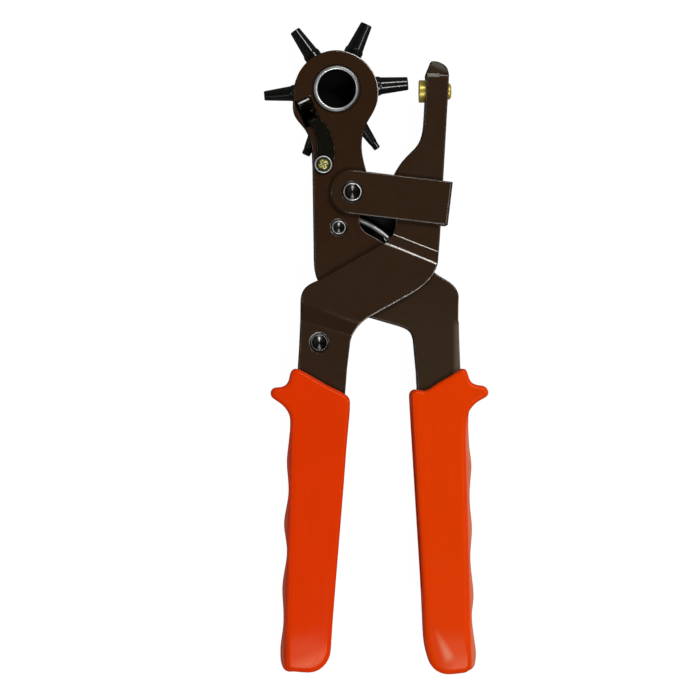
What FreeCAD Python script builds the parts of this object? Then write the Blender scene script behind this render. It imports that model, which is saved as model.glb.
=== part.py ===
import FreeCAD, Part
import math
import os

os.makedirs("parts", exist_ok=True)

V = FreeCAD.Vector
ORIGIN = V(0, 0, 0)
UP = V(0, 0, 1)

# ----------------------------------------------------------------------------------------------
# Driving dimensions, in millimetres.
# The tool lies flat: X to the right, Y towards the jaws, Z up through its thickness.
# Shapes are drawn about the mid-plane (z = 0) and lifted onto the table at the end.
# ----------------------------------------------------------------------------------------------
SHIFT_X = 0.34           # puts the box centre on the origin
SHIFT_Y = -0.06
MID_Z = 10.4             # height of the mid-plane above the table

SHEET = 2.5              # thickness of the two stamped levers
IN_LOW, OUT_LOW = 4.5, 7.0        # inner and outer half-depth of the plain channel
IN_HIGH, OUT_HIGH = 7.2, 9.7      # the same, where the anvil lever steps out over the other one

WHEEL_C = (-15.66, 99.32)         # centre of the tube wheel
HEAD_C = (-15.80, 97.87)          # centre of the round head of the punch lever
HEAD_R = 16.22
WHEEL_R = 15.0
WHEEL_HALF = 4.2
AXLE_R, AXLE_BORE_R, AXLE_RING_R = 8.2, 7.25, 8.85
TUBE_ANGLE = 5.0                  # first tube, above the +X direction
TUBE_TIP_R = 27.75                # tube tips from the wheel centre
STRAP_PIN = (-9.67, 59.75)        # pivot of the guide strap
LINK_TOP = (-14.82, 46.15)        # link pivot on the punch lever
LINK_LOW = (-22.29, 2.03)         # link pivot on the anvil lever
INDEX_SCREW = (-20.78, 70.31)
STRAP_TILT = -6.8
STRAP_LEN = 37.85
STRAP_HALF = 8.4
STRAP_SHEET = 2.2
ANVIL_Y, ANVIL_R, ANVIL_FACE_X = 98.7, 4.33, 16.2
GRIP_HALF = 10.4


# ----------------------------------------------------------------------------------------------
# helpers
# ----------------------------------------------------------------------------------------------
def pts(points, z=0.0):
    return [V(x, y, z) for x, y in points]


def line(points):
    p = pts(points)
    return [Part.makeLine(a, b) for a, b in zip(p, p[1:])]


def curve(points):
    c = Part.BSplineCurve()
    c.interpolate(pts(points))
    return [c.toShape()]


def arc(a, m, b):
    return [Part.Arc(V(a[0], a[1], 0), V(m[0], m[1], 0), V(b[0], b[1], 0)).toShape()]


def face_of(edges):
    wire = Part.Wire(Part.__sortEdges__(edges))
    return Part.Face(wire)


def prism(edges, z0, z1):
    f = face_of(edges)
    f.translate(V(0, 0, z0))
    return f.extrude(V(0, 0, z1 - z0))


def block(points, z0, z1):
    return prism(line(list(points) + [points[0]]), z0, z1)


def cyl(c, r, z0, z1):
    return Part.makeCylinder(r, z1 - z0, V(c[0], c[1], z0), UP)


def ring(c, r_out, r_in, z0, z1):
    return cyl(c, r_out, z0, z1).cut(cyl(c, r_in, z0 - 1, z1 + 1))


def turned(c, profile):
    # revolve a closed (radius, z) outline about the upright axis through c; an entry of four
    # numbers is an arc through its first pair to its second pair
    edges, at = [], V(profile[0][0], 0, profile[0][1])
    for item in list(profile[1:]) + [profile[0]]:
        to = V(item[-2], 0, item[-1])
        if len(item) == 4:
            edges.append(Part.Arc(at, V(item[0], 0, item[1]), to).toShape())
        elif (to - at).Length > 1e-6:
            edges.append(Part.makeLine(at, to))
        at = to
    s = Part.Face(Part.Wire(edges)).revolve(ORIGIN, UP, 360)
    s.translate(V(c[0], c[1], 0))
    return s


def rounded(shape, pick, radii):
    # rounds the edges that pick accepts, with the first radius that gives a sound solid
    edges = [e for e in shape.Edges if pick(e)]
    for r in radii:
        if not edges:
            break
        try:
            s = shape.makeFillet(r, edges)
            if s.isValid() and s.Solids and s.Volume > 0:
                return s
        except Exception:
            pass
    return shape


def solid(shape):
    s = shape.removeSplitter()
    if not s.isValid() or not s.Solids:
        s = shape
    if len(s.Solids) == 1:
        s = s.Solids[0]
    return s


NODES = {}


def put(name, shape):
    NODES[name] = solid(shape)


def bent(points, radii):
    # open line through the points with its inner corners rounded to the given radii
    p = [V(0, -v, z) for v, z in points]
    edges, at = [], p[0]
    for i in range(1, len(p) - 1):
        r = radii[i - 1]
        a, b = p[i - 1] - p[i], p[i + 1] - p[i]
        a.normalize()
        b.normalize()
        half_turn = (math.pi - a.getAngle(b)) / 2
        cut = r * math.tan(half_turn)
        p0, p1 = p[i] + a * cut, p[i] + b * cut
        m = a + b
        m.normalize()
        mid = p[i] + m * (r / math.cos(half_turn) - r)
        edges += [Part.makeLine(at, p0), Part.Arc(p0, mid, p1).toShape()]
        at = p1
    return edges + [Part.makeLine(at, p[-1])]


def stepped(profile, radii, angle, through):
    # a slab whose half-depth follows (distance, half-depth) points measured square to a bend
    # line that passes through the given point at the given angle
    top = bent(profile, radii)
    low = [e.mirror(ORIGIN, UP) for e in top]
    (v0, z0), (v1, z1) = profile[0], profile[-1]
    ends = [Part.makeLine(V(0, -v0, z0), V(0, -v0, -z0)), Part.makeLine(V(0, -v1, z1), V(0, -v1, -z1))]
    s = face_of(top + low + ends).extrude(V(400, 0, 0))
    s.translate(V(-200, 0, 0))
    s.rotate(ORIGIN, UP, angle)
    s.translate(V(through[0], through[1], 0))
    return s


# ----------------------------------------------------------------------------------------------
# punch lever: two plates round the wheel, crossing to the right, folded web along the shank
# ----------------------------------------------------------------------------------------------
def on_head(deg):
    return (HEAD_C[0] + HEAD_R * math.cos(math.radians(deg)),
            HEAD_C[1] + HEAD_R * math.sin(math.radians(deg)))


B_NECK_R = on_head(-4.5)
B_NECK_L = on_head(185.0)
b_edges = []
b_edges += arc(B_NECK_R, on_head(90), B_NECK_L)
b_edges += curve([B_NECK_L, (-32.20, 94.2), (-32.05, 91.3), (-31.15, 88.85), (-29.35, 86.5),
                  (-27.56, 84.27), (-26.06, 81.39), (-25.26, 78.20), (-24.85, 74.31), (-24.65, 70.13)])
b_edges += line([(-24.65, 70.13), (-24.15, 37.55)])
b_edges += curve([(-24.15, 37.55), (-23.95, 31.38), (-22.55, 25.90), (-19.24, 21.82), (-13.82, 17.63),
                  (-8.40, 13.95), (-2.07, 11.46)])
b_edges += line([(-2.07, 11.46), (8.57, 8.37)])
b_edges += curve([(8.57, 8.37), (10.98, 7.47), (12.79, 6.18), (13.80, 4.18), (14.20, 1.49)])
b_edges += line([(14.20, 1.49), (15.20, -9.17), (15.61, -16.85), (16.91, -35.89), (19.92, -92.71),
                 (21.93, -94.71), (29.70, -94.72), (31.30, -92.72), (31.70, -29.91)])
b_edges += curve([(31.70, -29.91), (31.90, -9.18), (31.55, -0.00), (31.30, 9.97)])
b_edges += line([(31.30, 9.97), (31.05, 10.57), (31.15, 18.44)])
b_edges += curve([(31.15, 18.44), (30.80, 21.63), (29.20, 24.02), (26.41, 26.12), (22.02, 28.91)])
b_edges += line([(22.02, 28.91), (1.57, 40.76)])
b_edges += curve([(1.57, 40.76), (-2.12, 43.05), (-5.21, 45.14), (-6.60, 47.23), (-6.90, 49.42),
                  (-6.30, 51.32)])
b_edges += curve([(-6.30, 51.32), (-4.81, 54.01), (-3.21, 58.29), (-3.11, 62.88), (-4.21, 67.66),
                  (-5.61, 73.24), (-6.01, 77.22), (-5.61, 81.61), (-4.21, 85.90), (-2.42, 88.89),
                  (-0.62, 92.58), B_NECK_R])
lever = prism(b_edges, -OUT_LOW, OUT_LOW)
lever = rounded(lever, lambda e: (abs(abs(e.CenterOfMass.z) - OUT_LOW) < 1e-6
                                  and e.BoundBox.XMin > 31.3 and e.BoundBox.YMax < 10.01
                                  and e.BoundBox.YMin > -31),
                [2.6, 2.2, 1.8, 1.2])
b_hollow = block([(-69.97, 139.87), (70.12, 140.15), (70.12, 10.01), (28.80, 9.97), (29.05, -0.00), (29.40, -9.18),
                  (29.20, -29.91), (28.80, -95.71), (-69.97, -95.91)], -IN_LOW, IN_LOW)
lever = lever.cut(b_hollow)
lever = lever.cut(cyl(WHEEL_C, AXLE_R + 0.02, -20, 20))
lever = lever.cut(cyl(STRAP_PIN, 2.52, -20, 20))
lever = lever.cut(cyl(LINK_TOP, 2.02, -20, 20))
lever = lever.cut(cyl(INDEX_SCREW, 1.52, 0, 20))

# window in the front plate where the index spring reaches the wheel
TIP_A, TIP_B = (-25.11, 87.32), (-28.30, 94.20)      # leaf centre line across the window
tip_len = math.hypot(TIP_B[0] - TIP_A[0], TIP_B[1] - TIP_A[1])
TIP_DIR = math.degrees(math.atan2(TIP_B[1] - TIP_A[1], TIP_B[0] - TIP_A[0]))


def on_leaf(profile, half_width):
    # solid drawn in the leaf's own section (distance along, z), square to the leaf
    w = Part.makePolygon([V(u, -half_width, z) for u, z in profile + [profile[0]]])
    s = Part.Face(w).extrude(V(0, 2 * half_width, 0))
    s.rotate(ORIGIN, UP, TIP_DIR)
    s.translate(V(TIP_A[0], TIP_A[1], 0))
    return s


window = on_leaf([(-1.4, 3), (8.7, 3), (8.7, 9), (-1.4, 9)], 2.95)
lever = lever.cut(window)
put("punch_lever", lever)

# ----------------------------------------------------------------------------------------------
# anvil lever: folded arm, stepped out over the punch lever, stepped in again to the shank
# ----------------------------------------------------------------------------------------------
a_edges = []
a_edges += curve([(20.73, 110.15), (22.12, 110.25), (24.60, 109.56), (26.50, 108.15), (27.36, 106.1),
                  (27.46, 103.48)])
a_edges += curve([(27.46, 103.48), (27.21, 98.20), (26.81, 92.01), (26.41, 84.34), (26.01, 77.46),
                  (25.71, 70.58), (25.31, 62.90), (24.71, 53.63), (24.21, 45.26), (23.79, 39.02),
                  (23.29, 34.44)])
a_edges += curve([(23.29, 34.44), (22.70, 31.16), (21.40, 28.37), (18.91, 25.28), (15.82, 22.69),
                  (11.94, 20.20)])
a_edges += line([(11.94, 20.20), (-2.32, 12.25)])
a_edges += curve([(-2.32, 12.25), (-5.41, 10.26), (-7.80, 7.77), (-9.49, 4.98), (-10.39, 2.29)])
a_edges += line([(-10.39, 2.29), (-11.59, -7.68), (-12.19, -15.35), (-13.58, -35.87), (-18.17, -92.66),
                 (-19.96, -94.65), (-30.47, -94.64), (-32.08, -92.64), (-31.18, -29.89)])
a_edges += curve([(-31.18, -29.89), (-30.77, -15.34), (-30.17, -6.18), (-29.57, 3.08), (-29.27, 12.25),
                  (-29.17, 17.63)])
a_edges += curve([(-29.17, 17.63), (-28.82, 20.49), (-27.81, 22.68), (-25.70, 24.57), (-21.99, 26.16)])
a_edges += line([(-21.99, 26.16), (2.24, 40.10)])
a_edges += curve([(2.24, 40.10), (5.36, 43.15), (6.67, 46.04), (7.07, 48.63)])
a_edges += curve([(7.07, 48.63), (6.77, 52.12), (5.76, 56.01), (5.66, 61.29), (6.47, 65.97), (7.97, 68.97),
                  (9.88, 71.76), (12.99, 75.15), (15.91, 78.34), (17.51, 82.13), (18.12, 86.62),
                  (18.52, 93.50), (18.82, 98.88), (18.72, 105.06)])
a_edges += line([(18.72, 105.06), (20.73, 110.15)])
slab = prism(a_edges, -OUT_HIGH, OUT_HIGH)

UPPER = ((5.62, 43.83), -21.7)       # first upper bend line: point and angle
LOWER = ((-29.55, 16.82), -18.5)     # first lower bend line
RISE = OUT_HIGH - OUT_LOW
outer = stepped([(-150, OUT_LOW), (0, OUT_LOW), (4.2, OUT_HIGH), (200, OUT_HIGH)], [1.4, 3.2],
                UPPER[1], UPPER[0])
inner = stepped([(-150, IN_LOW), (0.7, IN_LOW), (4.9, IN_HIGH), (200, IN_HIGH)], [3.2, 1.2],
                UPPER[1], UPPER[0])
outer = outer.common(stepped([(-150, OUT_HIGH), (0, OUT_HIGH), (5.4, OUT_LOW), (200, OUT_LOW)],
                             [3.2, 1.4], LOWER[1], LOWER[0]))
inner = inner.common(stepped([(-150, IN_HIGH), (-0.5, IN_HIGH), (4.9, IN_LOW), (200, IN_LOW)],
                             [1.2, 3.2], LOWER[1], LOWER[0]))
NOSE = 104.6                        # above this the two plates bend in towards each other
nose_out = stepped([(-30, 2.7), (-5.5, 2.7), (0, OUT_LOW), (6, OUT_LOW + 4.69), (300, 20)],
                   [1.0, 0.01, 0.01], 0, (0, NOSE))
nose_in = stepped([(-30, 0.2), (-5.0, 0.2), (0.6, IN_LOW), (2, 20), (300, 20)],
                  [0.01, 0.01, 0.01], 0, (0, NOSE))
lever = slab.common(outer).common(nose_out)
lever = rounded(lever, lambda e: (e.BoundBox.XMin > 24.2 and e.BoundBox.YMin > 39
                                  and e.BoundBox.YMax < NOSE + 0.1 and e.BoundBox.YLength > 40
                                  and abs(abs(e.CenterOfMass.z) - OUT_LOW) < 0.05),
                [2.6, 2.2, 1.8, 1.2])
lever = rounded(lever, lambda e: (e.BoundBox.XMax < -29.0 and e.BoundBox.YMax < 14.0
                                  and e.BoundBox.YLength > 25 and e.BoundBox.YMin > -31
                                  and abs(abs(e.CenterOfMass.z) - OUT_LOW) < 0.05),
                [2.6, 2.2, 1.8, 1.2])
a_hollow = block([(24.91, 103.48), (24.71, 98.19), (24.31, 92.01), (23.91, 84.33), (23.52, 77.46),
                  (23.22, 70.58), (22.82, 62.90), (22.22, 53.63), (21.72, 45.25), (21.42, 39.07),
                  (21.12, 33.89), (70.12, 34.04), (70.12, -96.10), (-29.57, -95.63), (-28.67, -29.89),
                  (-28.27, -15.34), (-27.66, -6.18), (-27.06, 3.08), (-26.76, 12.25), (-26.66, 19.92),
                  (-69.97, 19.98), (-69.97, 107.50), (22.12, 107.26), (24.01, 105.87)], -20, 20)
lever = lever.cut(inner.common(a_hollow).common(nose_in))
lever = lever.cut(cyl(LINK_LOW, 2.52, -20, 20))
stud_hole = Part.makeCylinder(2.92, 20, V(20, ANVIL_Y, 0), V(1, 0, 0))
lever = lever.cut(stud_hole)
put("anvil_lever", lever)


# ----------------------------------------------------------------------------------------------
# tube wheel, axle and tubes
# ----------------------------------------------------------------------------------------------
def radial(shape, deg):
    # turns a part drawn along +X about the wheel centre to its place on the wheel
    s = shape.copy()
    s.rotate(ORIGIN, UP, deg)
    s.translate(V(WHEEL_C[0], WHEEL_C[1], 0))
    return s


SOCKET_R, SOCKET_IN = 2.4, 10.6
wheel = ring(WHEEL_C, WHEEL_R, AXLE_R + 0.05, -WHEEL_HALF, WHEEL_HALF)
wheel = wheel.makeChamfer(0.5, [e for e in wheel.Edges if abs(e.Length - 2 * math.pi * WHEEL_R) < 0.1
                                and hasattr(e.Curve, "Radius")])
for k in range(6):
    a = TUBE_ANGLE + 60 * k
    hole = Part.makeCylinder(SOCKET_R + 0.02, 10, V(SOCKET_IN, 0, 0), V(1, 0, 0))
    wheel = wheel.cut(radial(hole, a))
    flat = Part.makeCylinder(3.85, 4, V(14.55, 0, 0), V(1, 0, 0))
    wheel = wheel.cut(radial(flat, a))
    # detent dimple for the index spring, midway between the tubes
    dimple = Part.makeSphere(1.6, V(13.2, 0, WHEEL_HALF + 1.15))
    wheel = wheel.cut(radial(dimple, 151.4 + 60 * k - 0.0))
put("turret_wheel", wheel)

AXLE_FLOOR = -4.6
axle = turned(WHEEL_C, [
    (0.0, AXLE_FLOOR - 2.4), (0.0, AXLE_FLOOR), (AXLE_BORE_R, AXLE_FLOOR), (AXLE_BORE_R, 7.3),
    (7.38, 7.95, 8.05, 8.2), (8.72, 7.95, AXLE_RING_R, 7.3), (AXLE_RING_R, OUT_LOW),
    (AXLE_R, OUT_LOW), (AXLE_R, -OUT_LOW), (AXLE_RING_R, -OUT_LOW), (AXLE_RING_R, -7.3),
    (8.7, -7.75, 8.2, -7.9), (5.0, -7.9), (4.6, -7.0)])
put("wheel_axle", axle)
put("wheel_washer_front", ring(WHEEL_C, 10.9, AXLE_R + 0.02, WHEEL_HALF + 0.05, IN_LOW))
put("wheel_washer_rear", ring(WHEEL_C, 10.9, AXLE_R + 0.02, -IN_LOW, -WHEEL_HALF - 0.05))

# bore, outside diameter at the tip, outside diameter at the collar, in tube order
TUBES = [
    ("punch_tube_4_5mm", 4.5, 5.1, 6.6, 0),
    ("punch_tube_4_0mm", 4.0, 4.6, 6.35, 1),
    ("punch_tube_3_5mm", 3.5, 4.15, 5.9, 2),
    ("punch_tube_3_0mm", 3.0, 3.7, 5.75, 3),
    ("punch_tube_2_5mm", 2.5, 3.3, 5.3, 4),
    ("punch_tube_2_0mm", 2.0, 2.65, 4.7, 5),
]


def tube(bore, tip_d, base_d, small):
    r_b, r_t, r_0 = bore / 2, tip_d / 2, base_d / 2
    r_c = r_0 + 0.4                    # collar that seats on the wheel
    prof = [(SOCKET_IN + 0.05, SOCKET_R - 0.35), (SOCKET_IN + 0.4, SOCKET_R),
            (14.6, SOCKET_R), (14.6, r_c - 0.25), (14.85, r_c), (16.75, r_c),
            (17.05, r_c - 0.3), (17.05, r_0 + 0.18), (17.5, r_0)]
    if small:
        prof += [(24.9, r_t + 0.22), (25.1, r_t + 0.08), (27.35, r_t)]
    else:
        prof += [(27.4, r_t)]
    prof += [(TUBE_TIP_R, r_b + 0.06), (TUBE_TIP_R, r_b)]
    r_in = min(r_b + 0.25, SOCKET_R - 0.5)
    prof += [(24.5, r_b), (23.9, r_in), (SOCKET_IN + 0.05, r_in)]
    w = Part.makePolygon([V(u, r, 0) for u, r in prof + [prof[0]]])
    s = Part.Face(w).revolve(ORIGIN, V(1, 0, 0), 360)
    return s


for name, bore, tip_d, base_d, k in TUBES:
    put(name, radial(tube(bore, tip_d, base_d, bore <= 2.5), TUBE_ANGLE + 60 * k))

# ----------------------------------------------------------------------------------------------
# index spring: a dog-leg leaf that dips through the window and turns up at its tip
# ----------------------------------------------------------------------------------------------
LEAF = 0.9
leaf_edges = line([(-26.55, 96.10), (-30.65, 94.15), (-29.70, 92.00), (-27.35, 87.10)])
leaf_edges += curve([(-27.35, 87.10), (-25.36, 84.83), (-23.77, 82.04), (-23.17, 78.96), (-23.07, 75.87),
                     (-23.67, 73.28), (-24.17, 71.29)])
leaf_edges += arc((-24.17, 71.29), (-20.78, 66.91), (-17.39, 70.90))
leaf_edges += curve([(-17.39, 70.90), (-16.50, 73.29), (-16.50, 76.28), (-17.19, 79.96), (-18.39, 83.25),
                     (-21.08, 86.83), (-22.75, 88.95)])
leaf_edges += line([(-22.75, 88.95), (-25.40, 93.60), (-26.55, 96.10)])
leaf = prism(leaf_edges, 3.5, 10)
z0, z1 = OUT_LOW + 0.03, OUT_LOW + 0.03 + LEAF
dip = WHEEL_HALF + 0.08
section = on_leaf([(-40, z0), (-0.6, z0), (2.9, dip), (4.3, dip), (7.5, 7.95), (8.15, 8.62),
                   (6.85, 9.38), (6.3, 8.7), (3.6, dip + LEAF + 0.1), (3.3, dip + LEAF + 0.1),
                   (-0.2, z1), (-40, z1)], 12)
leaf = leaf.common(section)
leaf = leaf.cut(cyl(INDEX_SCREW, 1.6, 0, 20))
put("index_spring", leaf)
put("index_screw_washer", turned(INDEX_SCREW, [
    (1.62, z1), (3.32, z1), (3.32, z1 + 0.3), (3.24, z1 + 0.62, 2.98, z1 + 0.72),
    (2.72, z1 + 0.62, 2.62, z1 + 0.3), (1.62, z1 + 0.3)]))
screw = turned(INDEX_SCREW, [(0, 4.7), (1.3, 4.7), (1.5, 4.9), (1.5, z1 + 0.32), (2.08, z1 + 0.32),
                             (2.08, z1 + 0.85), (2.0, z1 + 1.1, 1.75, z1 + 1.22),
                             (0.9, z1 + 1.4, 0, z1 + 1.45)])
cross = Part.makeBox(2.7, 0.7, 2, V(-1.35, -0.35, z1 + 0.75)).fuse(
    Part.makeBox(0.7, 2.7, 2, V(-0.35, -1.35, z1 + 0.75)))
cross.rotate(ORIGIN, UP, 20)
cross.translate(V(INDEX_SCREW[0], INDEX_SCREW[1], 0))
put("index_screw", screw.cut(cross))


# ----------------------------------------------------------------------------------------------
# rivets: rim ring, groove and a shallow turned cone on both ends
# ----------------------------------------------------------------------------------------------
def rivet(c, shaft_r, head_r, seat, height, rim):
    r_in = head_r - rim
    half = [(0.0, seat + height * 0.42), (head_r * 0.12, seat + height * 0.45),
            (r_in * 0.86, seat + height * 0.74), (r_in * 0.94, seat + height * 0.4),
            (r_in, seat + height * 0.4),
            (r_in + rim * 0.12, seat + height * 0.9, r_in + rim * 0.5, seat + height),
            (head_r - rim * 0.12, seat + height * 0.85, head_r, seat + height * 0.4),
            (head_r, seat), (shaft_r, seat)]
    top = turned(c, half + [(shaft_r, 0.0), (0.0, 0.0)])
    other = top.mirror(ORIGIN, UP)
    return top.fuse(other)


def halo(c, head_r, seat):
    # shallow sink round a rivet head, cut into both outer faces
    up = turned(c, [(head_r - 0.35, seat - 0.4), (head_r + 0.2, seat - 0.4),
                    (head_r + 0.45, seat + 0.02), (head_r + 0.45, seat + 1.5),
                    (head_r - 0.35, seat + 1.5)])
    return up.fuse(up.mirror(ORIGIN, UP))


put("strap_rivet", rivet(STRAP_PIN, 2.5, 3.5, 9.4, 0.99, 0.78))
put("strap_rivet_spacer", ring(STRAP_PIN, 4.6, 2.54, -1.65, IN_LOW - 0.02))
put("link_rivet_upper", rivet(LINK_TOP, 2.0, 2.66, OUT_LOW, 0.9, 0.58))
put("link_rivet_lower", rivet(LINK_LOW, 2.5, 3.25, OUT_LOW, 0.95, 0.62))
NODES["punch_lever"] = solid(NODES["punch_lever"].cut(halo(LINK_TOP, 2.66, OUT_LOW)))
NODES["anvil_lever"] = solid(NODES["anvil_lever"].cut(halo(LINK_LOW, 3.25, OUT_LOW)))

# ----------------------------------------------------------------------------------------------
# link, its bushes, and the guide tongue that closes the throat at the rear
# ----------------------------------------------------------------------------------------------
link_dx, link_dy = LINK_LOW[0] - LINK_TOP[0], LINK_LOW[1] - LINK_TOP[1]
link_len = math.hypot(link_dx, link_dy)
link_deg = math.degrees(math.atan2(link_dy, link_dx))
LINK_HALF = 1.5
bar = Part.makeBox(link_len, 8.0, 2 * LINK_HALF, V(0, -4.0, -LINK_HALF))
bar = bar.fuse(Part.makeCylinder(4.0, 2 * LINK_HALF, V(0, 0, -LINK_HALF)))
bar = bar.fuse(Part.makeCylinder(4.0, 2 * LINK_HALF, V(link_len, 0, -LINK_HALF)))
bar = bar.cut(Part.makeCylinder(2.05, 10, V(0, 0, -5)))
bar = bar.cut(Part.makeCylinder(2.55, 10, V(link_len, 0, -5)))
bar = bar.cut(Part.makeCylinder(1.52, 10, V(17.0, 0, -5)))
bar.rotate(ORIGIN, UP, link_deg)
bar.translate(V(LINK_TOP[0], LINK_TOP[1], 0))
put("lever_link", bar)
PIN = (LINK_TOP[0] + 17.0 * link_dx / link_len, LINK_TOP[1] + 17.0 * link_dy / link_len)
put("link_spring_pin", cyl(PIN, 1.5, -LINK_HALF, 4.2))
put("link_spacer_front", ring(LINK_LOW, 4.4, 2.54, LINK_HALF + 0.06, IN_LOW - 0.02))
put("link_spacer_rear", ring(LINK_LOW, 4.4, 2.54, -IN_LOW + 0.02, -LINK_HALF - 0.06))
put("spring_bush", ring(LINK_TOP, 4.4, 2.03, LINK_HALF + 0.06, IN_LOW - 0.02))

tongue_edges = curve([(-4.0, 66.8), (4.0, 63.5), (8.6, 58.0), (10.2, 52.0), (9.8, 46.5),
                      (7.6, 42.6)])
tongue_edges += line([(7.6, 42.6), (2.2, 39.4), (-9.6, 40.4)])
tongue_edges += curve([(-9.6, 40.4), (-13.0, 38.9), (-17.5, 40.2), (-20.2, 43.6),
                       (-20.2, 48.0), (-18.0, 52.4), (-16.2, 56.0), (-15.6, 60.6),
                       (-13.8, 64.6), (-9.6, 67.2), (-4.0, 66.8)])
tongue = prism(tongue_edges, -IN_LOW + 0.02, -LINK_HALF - 0.2)
tongue = tongue.cut(cyl(STRAP_PIN, 2.53, -20, 20)).cut(cyl(LINK_TOP, 2.03, -20, 20))
put("guide_tongue", tongue)

# ----------------------------------------------------------------------------------------------
# return spring: hairpin of round wire round the bush; its upper leg hooks down into the tongue
# ----------------------------------------------------------------------------------------------
WIRE_R = 0.9
SPRING_Z = 3.05
coil_r = 5.35
cx, cy = LINK_TOP
HOOK = (3.95, 42.35)


def on_coil(deg):
    return (cx + coil_r * math.cos(math.radians(deg)), cy + coil_r * math.sin(math.radians(deg)))


wire_run = [HOOK, (1.82, 44.2), (-0.06, 45.58), (-1.94, 46.81), (-4.1, 47.95), (-6.4, 48.95),
            (-9.4, 50.35)]
wire_run += [on_coil(a) for a in (80, 105, 130, 150, 170, 190)]
wire_run += [(cx - 4.7, cy - 4.4), (cx - 3.6, cy - 8.4), (PIN[0] + 1.2, PIN[1] + 4.6),
             (PIN[0] + 2.45, PIN[1] + 0.4), (PIN[0] + 2.5, PIN[1] - 2.6)]
run = Part.BSplineCurve()
run.interpolate([V(x, y, SPRING_Z) for x, y in wire_run])
start, heading = run.value(run.FirstParameter), run.tangent(run.FirstParameter)[0]
prof = Part.Wire([Part.makeCircle(WIRE_R, start, heading)])
spring = Part.Wire([run.toShape()]).makePipeShell([prof], True, False)
spring = spring.fuse(cyl(HOOK, WIRE_R, -2.6, SPRING_Z))
spring = spring.fuse(Part.makeSphere(WIRE_R, V(HOOK[0], HOOK[1], SPRING_Z)))
put("return_spring", spring)
NODES["guide_tongue"] = solid(NODES["guide_tongue"].cut(cyl(HOOK, WIRE_R + 0.15, -20, 20)))

# ----------------------------------------------------------------------------------------------
# guide strap: U of flat steel, pivoted on the punch lever and wrapped round the anvil arm
# ----------------------------------------------------------------------------------------------
zi, zo = OUT_LOW + 0.2, OUT_LOW + 0.2 + STRAP_SHEET
side = Part.makePolygon([V(-12, 0, zo), V(STRAP_LEN, 0, zo), V(STRAP_LEN, 0, -zo), V(-12, 0, -zo),
                         V(-12, 0, zo)])
u = Part.Face(side).extrude(V(0, 2 * STRAP_HALF, 0))
u.translate(V(0, -STRAP_HALF, 0))
u = rounded(u, lambda e: (abs(e.CenterOfMass.x - STRAP_LEN) < 1e-6
                          and abs(abs(e.CenterOfMass.z) - zo) < 1e-6), [1.3, 1.0])
u = u.cut(Part.makeBox(STRAP_LEN - STRAP_SHEET + 20, 60, 2 * zi, V(-20, -30, -zi)))
plan = block([(0, STRAP_HALF), (STRAP_LEN + 1, STRAP_HALF), (STRAP_LEN + 1, -STRAP_HALF),
              (0, -STRAP_HALF)], -20, 20).fuse(Part.makeCylinder(STRAP_HALF, 40, V(0, 0, -20)))
u = u.common(plan)
u = rounded(u, lambda e: (abs(abs(e.CenterOfMass.z) - zo) < 0.02 and e.BoundBox.ZLength < 0.01
                          and e.Length > 15), [0.4, 0.3])
u = u.cut(Part.makeCylinder(2.56, 60, V(0, 0, -30)))
u = u.cut(halo(ORIGIN, 3.5, zo))
u.rotate(ORIGIN, UP, STRAP_TILT)
u.translate(V(STRAP_PIN[0], STRAP_PIN[1], 0))
put("guide_strap", u)

# ----------------------------------------------------------------------------------------------
# brass anvil: seat cylinder, stud through the arm's back, riveted tail
# ----------------------------------------------------------------------------------------------
w = Part.makePolygon([V(x, r, 0) for x, r in [
    (ANVIL_FACE_X, 0), (ANVIL_FACE_X, ANVIL_R - 0.15), (ANVIL_FACE_X + 0.15, ANVIL_R),
    (23.8, ANVIL_R), (24.5, 3.5), (24.5, 2.9), (27.5, 2.9), (27.5, 3.15), (28.1, 3.1),
    (28.6, 2.3), (28.8, 0), (ANVIL_FACE_X, 0)]])
anvil = Part.Face(w).revolve(ORIGIN, V(1, 0, 0), 360)
anvil = anvil.cut(Part.makeBox(2, 10, 0.9, V(28.35, -5, -0.45)))
anvil.translate(V(0, ANVIL_Y, 0))
put("anvil", anvil)


# ----------------------------------------------------------------------------------------------
# grips: flat-faced body, thinner mid ridge with the finger waves, hooked guard at the top
# ----------------------------------------------------------------------------------------------
def slab_of(points, half, r):
    # closed smooth outline given a depth, with its rims rounded over by r
    c = Part.BSplineCurve()
    c.interpolate(Points=pts(points), PeriodicFlag=True)
    n = 150
    u0, u1 = c.FirstParameter, c.LastParameter
    us = [u0 + (u1 - u0) * i / n for i in range(n)]
    p = [c.value(x) for x in us]
    area = sum(p[i].x * p[(i + 1) % n].y - p[(i + 1) % n].x * p[i].y for i in range(n))
    side = 1.0 if area > 0 else -1.0
    wires = []
    for z, off in ((-half, r), (-half + 0.3 * r, 0.29 * r), (-half + r, 0.0), (half - r, 0.0),
                   (half - 0.3 * r, 0.29 * r), (half, r)):
        q = []
        for x, at in zip(us, p):
            t = c.tangent(x)[0]
            q.append(V(at.x - side * t.y * off, at.y + side * t.x * off, z))
        cc = Part.BSplineCurve()
        cc.interpolate(Points=q, PeriodicFlag=True)
        wires.append(Part.Wire([cc.toShape()]))
    return Part.makeLoft(wires, True, True)


def grip(body, ridge, pocket, slot, ridge_half):
    g = slab_of(body, GRIP_HALF, 1.4).fuse(slab_of(ridge, ridge_half, 1.0))
    return g.cut(pocket).cut(slot)


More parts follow.
